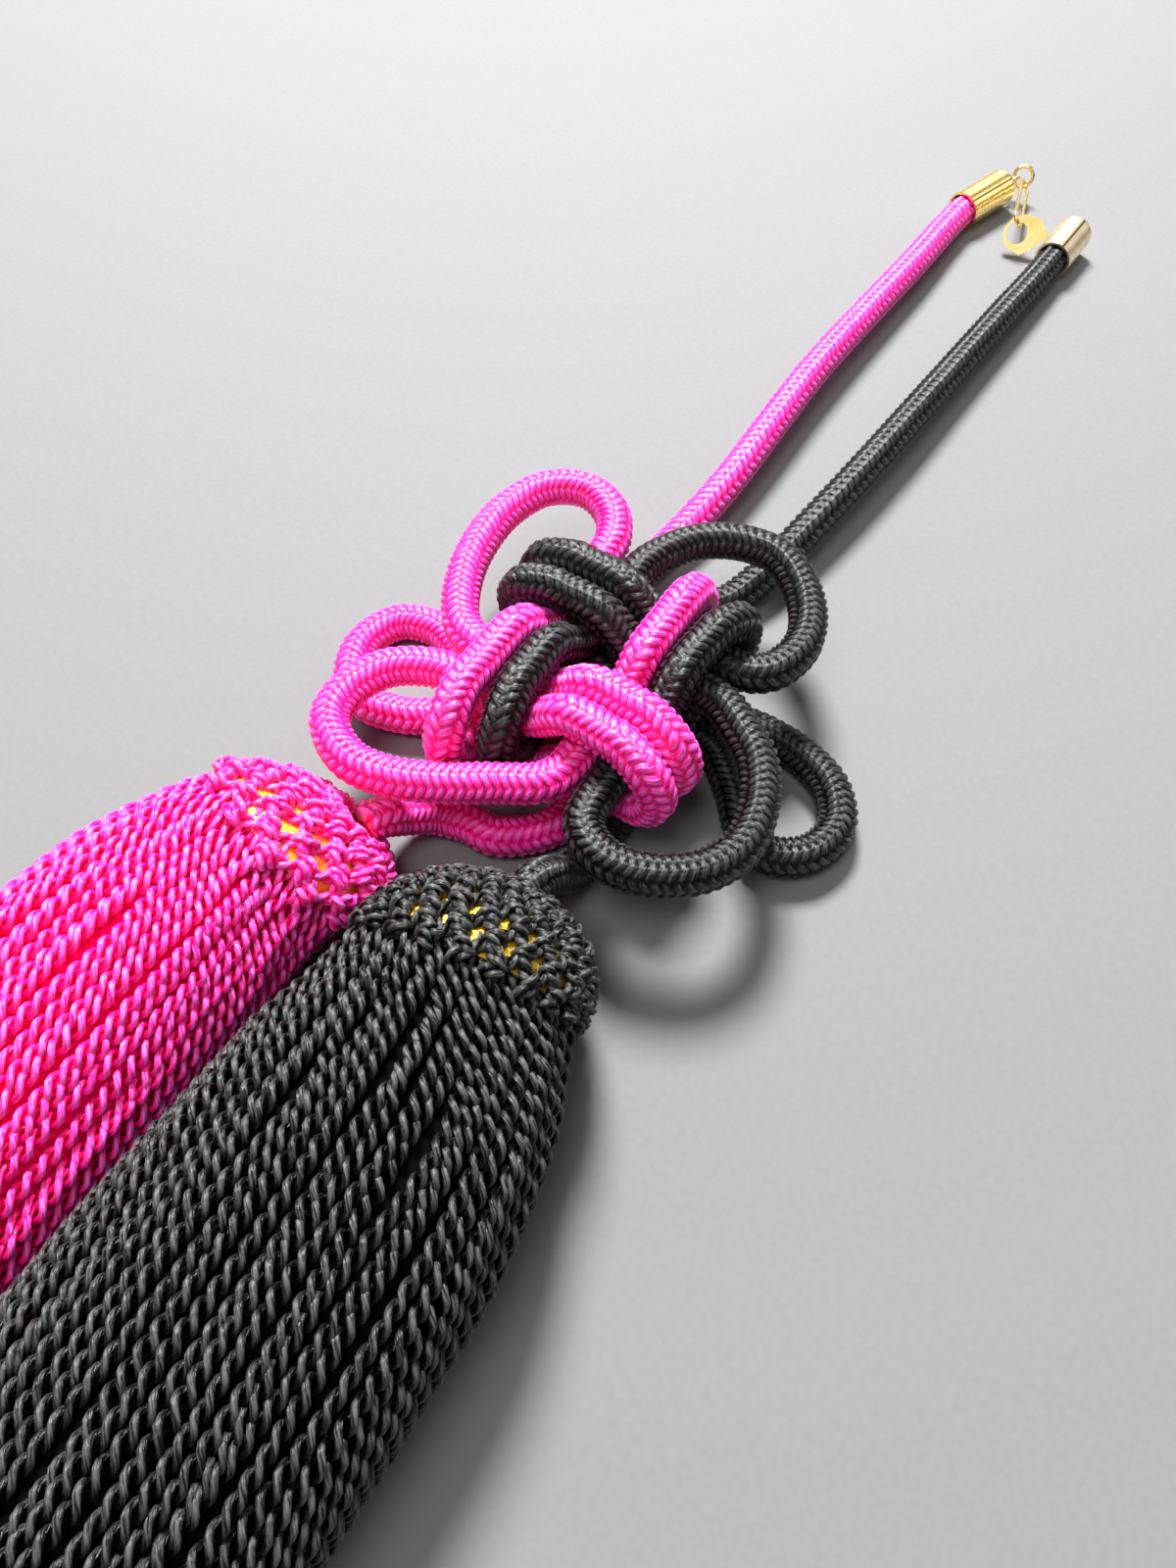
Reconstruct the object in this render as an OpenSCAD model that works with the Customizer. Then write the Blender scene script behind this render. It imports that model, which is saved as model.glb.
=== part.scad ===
// Knotted tassel: two braided cords, one pink and one black, tied in one flat knot of four double
// bands with six loops. Each cord ends above in a metal cap and below in a netted tassel.
// It lies on a table, +Y toward the clasp, +X toward the black side. All sizes are in millimetres.

/* [Cords] */
// Diameter of each braided cord
cord_d = 6.3; // [5.6:0.1:6.4]

/* [End caps] */
// Outer diameter of the metal caps
cap_d = 8.2; // [8:0.1:8.6]
// Length of the pink cord's cap
pink_cap_len = 15.5; // [14:0.5:16.5]
// Length of the black cord's cap
black_cap_len = 13.5; // [13.5:0.5:15]
// Wall of the caps
cap_wall = 0.5; // [0.3:0.05:0.6]
// Depth of the bore that holds the cord
cap_bore_depth = 12; // [11.5:0.1:12.3]

/* [Clasp] */
// Outer diameter of the jump ring
ring_d = 5.3; // [5:0.1:5.6]
// Wire of the jump ring
ring_wire = 0.9; // [0.7:0.05:1]
// Wire of the long link
link_wire = 0.8; // [0.6:0.05:0.9]
// Outer width of the long link
link_w = 4.3; // [4.2:0.1:4.6]
// Thickness of the clasp plate
plate_t = 1.8; // [1.2:0.1:2]
// Diameter of the hole in the clasp plate
plate_hole_d = 4.8; // [4.4:0.1:5]

/* [Tassel heads] */
// Radius of the pink head
pink_head_r = 15.6; // [15.3:0.1:16]
// Length of the pink head
pink_head_len = 12.4; // [12:0.1:12.6]
// Radius of the black head
black_head_r = 17.6; // [17.3:0.1:18]
// Length of the black head
black_head_len = 16; // [15.6:0.1:16.2]
// Thickness of the knotted net
net_t = 1.8; // [1.2:0.1:2]
// Gaps of the net in each row round the head
net_round = 12; // [10:1:14]
// Rows of gaps in the net
net_rows = 4; // [2:1:4]
// Share of each mesh of the net that is open
net_open = 0.52; // [0.3:0.02:0.7]

/* [Skirts] */
// Locks round each skirt
lock_count = 26; // [16:1:30]
// Depth of the valleys between the locks at the lower end
lock_depth = 2.2; // [1:0.1:3]

/* [Hidden] */

$fn = 48;
gap = 0.3;
// Distance between neighbouring strands in the knot, centre to centre
strand_pitch = 6.8;
pink = [0.93, 0.1, 0.56];
black = [0.13, 0.13, 0.15];
gold = [0.9, 0.72, 0.3];

// Place of the knot's centre, from the middle of the whole outline
knot_at = [1.09, -4.29, 0];

// The knot lies in four layers, half a pitch apart from the middle plane
cord_r = cord_d / 2;
knot_mid_z = cord_r + 1.5 * strand_pitch;
cord_sides = 8;

// Sides of the knot, as quarter turns
EAST = 0;
SOUTH = 1;
WEST = 2;
NORTH = 3;

// Cord routes, in strand pitches from the knot's centre: x, y, height from the middle plane
pink_leg = [[-1.28, 27.05, -1.35], [-1.49, 26.25, -1.35], [-1.7, 25.4, -1.35], [-1.74, 23.8, -1.3],
            [-1.7, 21.5, -1.2], [-1.75, 18, -1.1], [-1.75, 14.5, -1], [-1.6, 11.5, -1], [-1.5, 9, -1.1],
            [-1.6, 7, -1.3], [-1.8, 5.5, -1.5], [-1.95, 4, -1.5]];
black_leg = [[2.07, 25.9, -1.35], [2.04, 25.05, -1.35], [2.01, 24.2, -1.35], [1.97, 22.6, -1.3],
             [1.88, 20.5, -1.2], [1.75, 17, -1.1], [1.65, 14, -1], [1.5, 11, -1], [1.3, 8.5, -1.1],
             [1.05, 6.5, -1.3], [0.6, 5.1, -1.5], [-0.2, 4.1, -1.5], [-0.8, 3.4, -1.5]];
// Pink loops at the upper left, the left and the lower left
loop_upper_left = [[-2.1, 3.8, 0.5], [-2.7, 4.6, 0.5], [-3.7, 4.9, 0.5], [-4.65, 4.3, 0.5],
                   [-5, 3, 0.5], [-4.8, 1.5, 0.5], [-4.3, 0.3, 0.5], [-3.6, -0.6, 0.5]];
loop_left = [[-3.6, -0.6, -1.5], [-4.4, -0.1, -1.5], [-5.3, 0.1, -1.5], [-6.2, -0.3, -1.5],
             [-6.5, -1.3, -1.5], [-6.1, -2.3, -1.5], [-5.2, -2.8, -1.5], [-4.2, -2.6, -1.5],
             [-3.5, -2.2, -1.5]];
loop_lower_left = [[-3.6, -2.2, 0.5], [-4.3, -2.8, 0.5], [-4.6, -3.8, 0.5], [-4.3, -4.7, 0.5],
                   [-3.3, -5.2, 0.5], [-2.2, -5.05, 0.5], [-1.1, -4.5, 0.5], [-0.15, -3.85, 0.5],
                   [0.6, -3.35, 0.5]];
// Black loops at the top, the right and the lower right
loop_top = [[-0.9, 3.7, 0.5], [-0.4, 4.8, 0.5], [0.5, 5.5, 0.5], [1.6, 5.7, 0.5], [2.5, 5.25, 0.5],
            [3.25, 4.4, 0.5], [3.6, 3.4, 0.5], [3.4, 2.4, 0.5]];
loop_right = [[3.7, 2.05, -1.5], [4.8, 1.95, -1.5], [5.8, 1.5, -1.5], [6.4, 0.6, -1.5],
              [6.2, -0.4, -1.5], [5.4, -0.95, -1.5], [4.6, -0.65, -1.5], [3.8, 0.2, -1.5]];
loop_lower_right = [[3.6, 0.5, 0.5], [4.4, -0.1, 0.5], [5, -1.1, 0.5], [5.2, -2.2, 0.5],
                    [4.8, -3.2, 0.5], [3.9, -3.9, 0.5], [2.9, -4.1, 0.5], [2.1, -3.7, 0.5]];
// Cord ends that run down into the tassel heads
pink_tail = [[0.6, -3.5, -1.5], [-0.1, -4.1, -1.5], [-0.95, -4.2, -1.5], [-1.65, -4.5, -1.35],
             [-2.04, -5.1, -0.93], [-2.17, -5.55, -0.5], [-2.28, -5.85, -0.35], [-2.38, -6.13, -0.29]];
black_tail = [[1.95, -3.5, -1.5], [1.95, -4, -1.3], [1.94, -4.45, -0.8], [1.91, -4.9, -0.15],
              [1.89, -5.35, 0.2], [1.92, -5.83, 0.31]];

// One strand of a band: in under the next band, over it, round the edge, and back behind.
// entry, lane and tip are offsets across the band, reach is where the strand turns back.
function lane(entry, lane, tip, reach) =
    let (near = (5 * lane + tip) / 6, far = (2 * lane + tip) / 3)
    [[-2.8, entry, 0.5], [-1.85, (entry + lane) / 2, 0.5], [-0.95, lane, 0.5], [-0.45, lane, 0.6],
     [0, lane, 1], [0.45, lane, 1.4], [0.95, lane, 1.5], [reach / 2, near, 1.5], [reach - 1, far, 1.5],
     [reach - 0.3, tip, 1.2], [reach, tip, 0.5], [reach - 0.3, tip, -0.2],
     [reach - 1, far, -0.5], [reach / 2, near, -0.5], [0.95, lane, -0.5], [0.45, lane, -0.6],
     [0, lane, -1], [-0.45, lane, -1.4], [-0.95, lane, -1.5], [-1.85, lane, -1.5], [-2.8, lane, -1.5]];

function quarter_turns(points, n) =
    n == 0 ? points : quarter_turns([for (p = points) [p.y, -p.x, p.z]], n - 1);
function band(side, entry, lane, tip, reach) =
    quarter_turns([for (p = lane(entry, lane, tip, reach)) [p.y, p.x, p.z]], side);
function reversed(points) = [for (i = [len(points) - 1 : -1 : 0]) points[i]];

pink_route = concat(
    pink_leg, reversed(band(WEST, 1.95, 1.95, 1.75, 3.7)), loop_upper_left,
    band(SOUTH, 0.9, 0.95, 1.15, 3.05), loop_left, reversed(band(SOUTH, 1.95, 1.95, 2.15, 3)),
    loop_lower_left, band(EAST, 0.9, 0.95, 0.85, 3.2), pink_tail);
black_route = concat(
    black_leg, reversed(band(WEST, 0.95, 0.95, 0.75, 3)), loop_top,
    band(NORTH, 1.95, 1.95, 1.8, 3.05), loop_right, reversed(band(NORTH, 0.9, 0.95, 0.8, 3)),
    loop_lower_right, band(EAST, 1.9, 1.95, 2.2, 3), black_tail);

// End caps: place of each open rim, and the heading of the axis from +Y toward +X
pink_cap_at = [-11.6, 173, 4.2];
pink_cap_heading = 14.5;
black_cap_at = [13.75, 166.4, 4.2];
black_cap_heading = 1.7;
cap_shoulder = 1.2;
seam_w = 0.3;
seam_depth = 0.15;
// Turn of each cap's seam about its axis
pink_seam_turn = 215;
black_seam_turn = 200;

// Clasp: the ring and the plate both lean back and face down the tassel
clasp_facing = [0.2, -0.86, 0.48];
ring_at = [-4.5, 192, 5.7];
ring_r = (ring_d - ring_wire) / 2;
eye_r = 1.25;
eye_wire = 0.8;
// Angles on the ring, from straight down and toward +X, where it holds the cap's eye and the link
ring_eye_angle = -65;
ring_link_angle = 30;
plate_at = [4.9, 171.4, 4.6];
plate_hole_at = [-1.9, 0.1, 0];
plate_rim_at = [-2.6, 2.9, 0];
plate_outline = [[-4.9, 0.9], [-3.6, 3.2], [-0.6, 4.4], [2.6, 3.6], [5.2, 1.2], [3.2, -1.6],
                 [0.2, -4.4], [-3.4, -3.2], [-4.9, -1]];

// Tassel heads: centre of the rim, radius, length, heading from -Y toward +X and rise of the
// axis, and heading and rise of the rim's facing
pink_head = [[-20.5, -51.2, 15.2], pink_head_r, pink_head_len, -24, 20, -21, -22];
black_head = [[14.5, -53.2, 17], black_head_r, black_head_len, 6, 6.5, 8, -12.5];
net_top_angle = 24;
core_inset = net_t + 1;
core_start_angle = 26;
core_end_angle = 65;
core_round = 16;
core_steps = 5;

// Skirt sections from the head down: x, y, half width, middle height, half height, lean
pink_skirt_rows = [[-19.5, -48.6, 12.1, 14.3, 12.1, -22], [-20.5, -51.2, 12.7, 15.2, 12.7, -22],
                   [-21.9, -54.8, 15.2, 15.6, 15, -20], [-23.8, -60.5, 17.4, 15.6, 15.6, -14],
                   [-25.4, -68, 19, 15.6, 15.9, -7], [-26.5, -77.5, 20.1, 15.6, 16, -2],
                   [-27.1, -92, 20.8, 15.6, 16, 0], [-27.3, -113, 21, 15.4, 15.8, 0],
                   [-27.4, -134, 21.2, 14.9, 15.3, 0], [-27.5, -158, 21.3, 14.2, 14.6, 0],
                   [-27.6, -181, 21.2, 13.4, 13.8, 0]];
black_skirt_rows = [[14, -48.6, 13.8, 16.5, 13.8, -12.5], [14.5, -53.2, 14.6, 17, 14.6, -12.5],
                    [15, -56.8, 17.2, 17.2, 16.8, -11], [15.9, -62.5, 19.6, 17.3, 17.3, -8],
                    [17, -70, 21.8, 17.3, 17.5, -4], [18, -79, 23.4, 17.2, 17.6, -1],
                    [18.7, -93, 24.2, 17.1, 17.6, 0], [18.9, -111, 24.6, 16.9, 17.4, 0],
                    [18.6, -132, 24.4, 16.1, 16.6, 0], [18.2, -158, 24, 15, 15.5, 0],
                    [17.9, -181, 23.4, 13.8, 14.2, 0]];
tip_len = 2.5;
tip_inset = 1.2;
tip_core_inset = 4.5;
tip_spread = 1.5;

// Vector helpers
function unit(v) = v / norm(v);
function polar_heading(a) = [sin(a), cos(a), 0];
function side_of(facing) = unit(cross([0, 0, 1], facing));
function upper_of(facing) = cross(facing, side_of(facing));
function on_plane(at, facing, p) =
    at + p.x * side_of(facing) + p.y * upper_of(facing) + p.z * facing;

// Point of the Catmull-Rom curve after control point i, at t from 0 to 1
function curve_point(p, i, t) =
    let (a = p[max(i - 1, 0)], b = p[i], c = p[i + 1], d = p[min(i + 2, len(p) - 1)])
    0.5 * (2 * b + (c - a) * t + (2 * a - 5 * b + 4 * c - d) * t * t
           + (3 * b - a - 3 * c + d) * t * t * t);
// Wide spaces between the control points get a ring half way
function rings_between(p, i) = norm(p[i + 1] - p[i]) > 0.62 ? 2 : 1;
function smoothed(p) =
    [for (i = [0 : len(p) - 2], n = [rings_between(p, i)], k = [0 : n - 1]) curve_point(p, i, k / n),
     p[len(p) - 1]];
function laid(p) =
    [for (q = smoothed(p)) [q.x * strand_pitch, q.y * strand_pitch,
                            max(cord_r, knot_mid_z + q.z * strand_pitch)]];
function tangents(path) =
    [for (i = [0 : len(path) - 1])
         unit(path[min(i + 1, len(path) - 1)] - path[max(i - 1, 0)])];
// A normal carried along the path without twist
function square_to(v, t) = unit(v - (v * t) * t);
function carried_normals(ts) =
    [for (i = 0, n = square_to([0, 0, 1], ts[0]); i < len(ts);
          n = square_to(n, ts[min(i + 1, len(ts) - 1)]), i = i + 1) n];

// Closed skin through rings of equal point counts, listed counter-clockwise from the end
module skin(rings) {
    count = len(rings[0]);
    last = len(rings) - 1;
    points = [for (ring = rings, p = ring) p];
    sides = [for (i = [0 : last - 1], k = [0 : count - 1])
                 let (a = i * count + k, b = i * count + (k + 1) % count)
                 each [[a, b + count, b], [a, a + count, b + count]]];
    start = [for (k = [0 : count - 1]) k];
    end = [for (k = [count - 1 : -1 : 0]) last * count + k];
    polyhedron(points, concat(sides, [start, end]), convexity = 10);
}

module cord(route) {
    path = laid(route);
    ts = tangents(path);
    ns = carried_normals(ts);
    skin([for (i = [0 : len(path) - 1])
              let (b = cross(ts[i], ns[i]))
              [for (k = [0 : cord_sides - 1])
                   let (a = 360 * (k + 0.5) / cord_sides)
                   path[i] + cord_r * (cos(a) * ns[i] + sin(a) * b)]]);
}

// Turns the local Z axis to a direction
module facing(direction) {
    rotate([0, acos(direction.z / norm(direction)), atan2(direction.y, direction.x)]) children();
}
// The same, with the local X axis level and the local Y axis upward
module standing(at, direction) {
    translate(at) facing(direction) rotate(90) children();
}

module wire_ring(mean_r, wire_d) {
    rotate_extrude() translate([mean_r, 0]) circle(d = wire_d, $fn = 24);
}

// Hollow cap along +Z, open at the bottom, with a rounded shoulder and a thin seam
module cap_body(length) {
    outer = cap_d / 2;
    shoulder = [for (a = [0 : 15 : 90])
                    [outer - cap_shoulder + cap_shoulder * cos(a),
                     length - cap_shoulder + cap_shoulder * sin(a)]];
    difference() {
        rotate_extrude()
            polygon(concat([[outer - cap_wall, cap_bore_depth], [outer - cap_wall, 0], [outer, 0]],
                           shoulder, [[0, length], [0, cap_bore_depth]]));
        translate([outer - seam_depth, -seam_w / 2, -1]) cube([seam_depth * 2, seam_w, length]);
    }
}
module lying_cap(at, heading, roll, length) {
    translate(at) facing(polar_heading(heading)) rotate(roll) cap_body(length);
}

// The eye stands across the ring's wire and is soldered to the end of the pink cap
ring_eye_place = on_plane(ring_at, unit(clasp_facing),
                          ring_r * [sin(ring_eye_angle), -cos(ring_eye_angle), 0]);
cap_end = pink_cap_at + (pink_cap_len - 0.5) * polar_heading(pink_cap_heading);
module cap_eye() {
    standing(ring_at, clasp_facing)
        rotate(ring_eye_angle - 90) translate([ring_r, 0]) rotate([90, 0]) wire_ring(eye_r, eye_wire);
    stem = ring_eye_place - cap_end;
    translate(cap_end) facing(stem) cylinder(d = eye_wire * 1.6, h = norm(stem) - eye_r + eye_wire / 4);
}

// The long link runs from the ring's wire to the rim of the plate, and passes round both
link_r = (link_w - link_wire) / 2;
link_from = on_plane(ring_at, unit(clasp_facing),
                     ring_r * [sin(ring_link_angle), -cos(ring_link_angle), 0]);
link_to = on_plane(plate_at, unit(clasp_facing), plate_rim_at);
link_roll = 34;
link_past_ring = (ring_wire + link_wire) / 2 + gap;
link_past_rim = (plate_t + link_wire) / 2 + 2 * gap;
module link() {
    run = link_to - link_from;
    straight = norm(run) + link_past_ring + link_past_rim - 2 * link_r;
    translate(link_from) facing(run) rotate(link_roll) translate([0, 0, link_r - link_past_ring]) {
        for (side = [-1, 1]) translate([side * link_r, 0]) cylinder(d = link_wire, h = straight, $fn = 24);
        for (end = [[0, 180], [straight, 0]])
            translate([0, 0, end[0]]) rotate([90, end[1], 0])
                rotate_extrude(angle = 180) translate([link_r, 0]) circle(d = link_wire, $fn = 24);
    }
}
module plate() {
    standing(plate_at, clasp_facing) difference() {
        translate([0, 0, -plate_t / 2]) linear_extrude(plate_t) polygon(plate_outline);
        translate([plate_hole_at.x, plate_hole_at.y, -plate_t]) cylinder(d = plate_hole_d, h = 2 * plate_t);
    }
}

// Point of a head: polar angle from the apex, angle round the axis, depth below the surface
function toward(heading, rise) =
    [sin(heading) * cos(rise), -cos(heading) * cos(rise), sin(rise)];
function head_point(head, polar, round, inset) =
    let (axis = toward(head[3], head[4]), rim = toward(head[5], head[6]),
         p = head[0] - (head[2] - inset) * cos(polar) * axis + (head[1] - inset) * sin(polar)
             * (cos(round) * side_of(rim) + sin(round) * upper_of(rim)))
    [p.x, p.y, max(p.z, gap + inset)];

module head_core(head) {
    skin([for (i = [0 : core_steps])
              let (polar = core_start_angle + (core_end_angle - core_start_angle) * i / core_steps)
              [for (k = [0 : core_round - 1])
                   head_point(head, polar, 360 * k / core_round, core_inset)]]);
}

// Net of diamond meshes on levels of knots. Each mesh is a frame round its own gap.
module head_net(head) {
    levels = net_rows + 2;
    cells = net_rows * net_round;
    function level_angle(k) = net_top_angle + (90 - net_top_angle) * k / (levels - 1);
    function knot_turn(k, j) = 360 / net_round * (j + (k % 2) / 2);
    function knot_id(k, j, inner) =
        inner * levels * net_round + k * net_round + (j + net_round) % net_round;
    function gap_id(k, j, c, inner) =
        2 * levels * net_round + 4 * (inner * cells + k * net_round + j) + c % 4;
    // Corners of a mesh: above, right, below, left
    function mesh_knots(k, j, inner) =
        let (right = j + k % 2)
        [knot_id(k, j, inner), knot_id(k + 1, right, inner),
         knot_id(k + 2, j, inner), knot_id(k + 1, right - 1, inner)];
    function gap_corner(k, j, c, inset) =
        head_point(head, level_angle(k + 1 + net_open * [-1, 0, 1, 0][c]),
                   knot_turn(k, j) + 180 / net_round * net_open * [0, 1, 0, -1][c], inset);

    points = concat(
        [for (inner = [0, 1], k = [0 : levels - 1], j = [0 : net_round - 1])
             head_point(head, level_angle(k), knot_turn(k, j), inner * net_t)],
        [for (inner = [0, 1], k = [0 : net_rows - 1], j = [0 : net_round - 1], c = [0 : 3])
             gap_corner(k, j, c, inner * net_t)]);
    meshes = [for (k = [0 : net_rows - 1], j = [0 : net_round - 1], c = [0 : 3])
                  let (d = (c + 1) % 4,
                       outer = mesh_knots(k, j, 0), inner = mesh_knots(k, j, 1),
                       a = gap_id(k, j, c, 0), b = gap_id(k, j, d, 0),
                       e = gap_id(k, j, c, 1), f = gap_id(k, j, d, 1))
                  each [[outer[c], b, outer[d]], [outer[c], a, b],
                        [inner[d], e, inner[c]], [inner[d], f, e],
                        [a, f, b], [a, e, f]]];
    top = [for (j = [0 : net_round - 1])
               let (a = knot_id(0, j, 0), b = knot_id(0, j + 1, 0), c = knot_id(1, j, 0),
                    d = knot_id(0, j, 1), e = knot_id(0, j + 1, 1), f = knot_id(1, j, 1))
               each [[a, c, b], [e, f, d], [b, d, a], [b, e, d]]];
    low = levels - 1;
    shift = low % 2;
    rim = [for (j = [0 : net_round - 1])
               let (a = knot_id(low, j - shift, 0), b = knot_id(low, j + 1 - shift, 0),
                    c = knot_id(low - 1, j, 0), d = knot_id(low, j - shift, 1),
                    e = knot_id(low, j + 1 - shift, 1), f = knot_id(low - 1, j, 1))
               each [[b, c, a], [d, f, e], [a, e, b], [a, d, e]]];
    polyhedron(points, concat(meshes, top, rim), convexity = 10);
}

// Skirt of locks: a ring of lobes on each section, deeper toward the free end
function heading_at(rows, i) =
    let (a = rows[max(i - 1, 0)], b = rows[min(i + 1, len(rows) - 1)])
    unit([b.x - a.x, b.y - a.y]);
function skirt_point(rows, i, round, inset, further) =
    let (row = rows[i], h = heading_at(rows, i), lean = row[5],
         side = [-h.y, h.x, 0],
         upper = [-h.x * sin(lean), -h.y * sin(lean), cos(lean)],
         p = [row[0], row[1], row[3]] + further * [h.x, h.y, 0]
             + (row[2] - inset) * cos(round) * side + (row[4] - inset) * sin(round) * upper)
    [p.x, p.y, max(p.z, 0)];
function skirt_ring(rows, i, inset, further) =
    let (depth = lock_depth * i / (len(rows) - 1))
    [for (k = [0 : lock_count - 1], edge = [[0, 1], [0.28, 0], [0.72, 0]])
         skirt_point(rows, i, 360 * (k + edge[0]) / lock_count, inset + depth * edge[1],
                     further + tip_spread * sin(137 * k) * max(0, i - len(rows) + 2))];
// The locks end in separate tips round a flat core
module skirt(rows) {
    last = len(rows) - 1;
    skin(concat([for (i = [0 : last]) skirt_ring(rows, i, 0, 0)],
                [skirt_ring(rows, last, tip_inset, tip_len),
                 [for (k = [0 : 3 * lock_count - 1])
                      skirt_point(rows, last, 120 * k / lock_count, tip_core_inset, 0)]]));
}

module placed(tint) {
    color(tint) translate(knot_at) children();
}
module pink_cord() { placed(pink) cord(pink_route); }
module black_cord() { placed(black) cord(black_route); }
module pink_end_cap() {
    placed(gold) union() {
        lying_cap(pink_cap_at, pink_cap_heading, pink_seam_turn, pink_cap_len);
        cap_eye();
    }
}
module black_end_cap() {
    placed(gold) lying_cap(black_cap_at, black_cap_heading, black_seam_turn, black_cap_len);
}
module jump_ring() { placed(gold) standing(ring_at, clasp_facing) wire_ring(ring_r, ring_wire); }
module long_link() { placed(gold) link(); }
module clasp_plate() { placed(gold) plate(); }
module pink_head_core() { placed(gold) head_core(pink_head); }
module black_head_core() { placed(gold) head_core(black_head); }
module pink_head_net() { placed(pink) head_net(pink_head); }
module black_head_net() { placed(black) head_net(black_head); }
module pink_skirt() { placed(pink) skirt(pink_skirt_rows); }
module black_skirt() { placed(black) skirt(black_skirt_rows); }

pink_cord();
black_cord();
pink_end_cap();
black_end_cap();
jump_ring();
long_link();
clasp_plate();
pink_head_core();
black_head_core();
pink_head_net();
black_head_net();
pink_skirt();
black_skirt();
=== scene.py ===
import math

import bpy
import numpy as np
from mathutils import Euler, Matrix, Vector


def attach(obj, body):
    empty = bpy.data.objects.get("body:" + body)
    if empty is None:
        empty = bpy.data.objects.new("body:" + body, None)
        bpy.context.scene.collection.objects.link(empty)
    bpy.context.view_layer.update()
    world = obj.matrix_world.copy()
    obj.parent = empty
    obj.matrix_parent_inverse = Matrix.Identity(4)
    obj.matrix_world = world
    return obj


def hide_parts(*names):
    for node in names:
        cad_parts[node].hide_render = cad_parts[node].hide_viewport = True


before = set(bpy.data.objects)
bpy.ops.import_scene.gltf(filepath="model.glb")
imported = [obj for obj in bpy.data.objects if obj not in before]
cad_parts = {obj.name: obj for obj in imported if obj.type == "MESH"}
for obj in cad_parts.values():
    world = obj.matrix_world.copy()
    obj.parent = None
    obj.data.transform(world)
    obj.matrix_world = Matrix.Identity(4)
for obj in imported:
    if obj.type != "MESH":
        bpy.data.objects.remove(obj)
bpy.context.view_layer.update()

MM = 0.001
UP = np.array([0.0, 0.0, 1.0])
UV_MAP = "UVMap"
SEED = 7
rng = np.random.RandomState(SEED)

# The camera at the photograph's place and angle: its place in metres, how far it looks down and
# to the left of +Y in degrees, and its sensor and lens in millimetres
CAMERA_AT = (0.06589, -0.10259, 0.167)
LOOK_DOWN, LOOK_LEFT = 57.3, 34.2
SENSOR_W, FOCAL_LEN = 36, 27.05
CLIP_START = 0.01

camera_data = bpy.data.cameras.new("photo_camera")
camera_data.sensor_width = SENSOR_W
camera_data.lens = FOCAL_LEN
camera_data.clip_start = CLIP_START
camera = bpy.data.objects.new("photo_camera", camera_data)
camera.location = CAMERA_AT
camera.rotation_euler = Euler((math.radians(90 - LOOK_DOWN), 0, math.radians(LOOK_LEFT)))
bpy.context.scene.collection.objects.link(camera)
bpy.context.scene.camera = camera

# The knot's place and sizes in millimetres, as in the CAD source. The knot lies in four layers,
# 0.5 and 1.5 pitches above and below its middle plane.
KNOT_AT = np.array([1.09, -4.29, 0.0])
CORD_R = 3.15
PITCH = 6.8
MID_Z = CORD_R + 1.5 * PITCH

# Sides of the knot, as quarter turns
EAST, SOUTH, WEST, NORTH = 0, 1, 2, 3

# Cord routes, as in the CAD source, in pitches from the knot's centre: x, y, height from the
# middle plane. These two run from the caps down to the knot.
pink_leg = [[-1.28, 27.05, -1.35], [-1.49, 26.25, -1.35], [-1.7, 25.4, -1.35], [-1.74, 23.8, -1.3],
            [-1.7, 21.5, -1.2], [-1.75, 18, -1.1], [-1.75, 14.5, -1], [-1.6, 11.5, -1], [-1.5, 9, -1.1],
            [-1.6, 7, -1.3], [-1.8, 5.5, -1.5], [-1.95, 4, -1.5]]
black_leg = [[2.07, 25.9, -1.35], [2.04, 25.05, -1.35], [2.01, 24.2, -1.35], [1.97, 22.6, -1.3],
             [1.88, 20.5, -1.2], [1.75, 17, -1.1], [1.65, 14, -1], [1.5, 11, -1], [1.3, 8.5, -1.1],
             [1.05, 6.5, -1.3], [0.6, 5.1, -1.5], [-0.2, 4.1, -1.5], [-0.8, 3.4, -1.5]]
# Pink loops at the upper left, the left and the lower left
loop_upper_left = [[-2.1, 3.8, 0.5], [-2.7, 4.6, 0.5], [-3.7, 4.9, 0.5], [-4.65, 4.3, 0.5],
                   [-5, 3, 0.5], [-4.8, 1.5, 0.5], [-4.3, 0.3, 0.5], [-3.6, -0.6, 0.5]]
loop_left = [[-3.6, -0.6, -1.5], [-4.4, -0.1, -1.5], [-5.3, 0.1, -1.5], [-6.2, -0.3, -1.5],
             [-6.5, -1.3, -1.5], [-6.1, -2.3, -1.5], [-5.2, -2.8, -1.5], [-4.2, -2.6, -1.5],
             [-3.5, -2.2, -1.5]]
loop_lower_left = [[-3.6, -2.2, 0.5], [-4.3, -2.8, 0.5], [-4.6, -3.8, 0.5], [-4.3, -4.7, 0.5],
                   [-3.3, -5.2, 0.5], [-2.2, -5.05, 0.5], [-1.1, -4.5, 0.5], [-0.15, -3.85, 0.5],
                   [0.6, -3.35, 0.5]]
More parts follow.
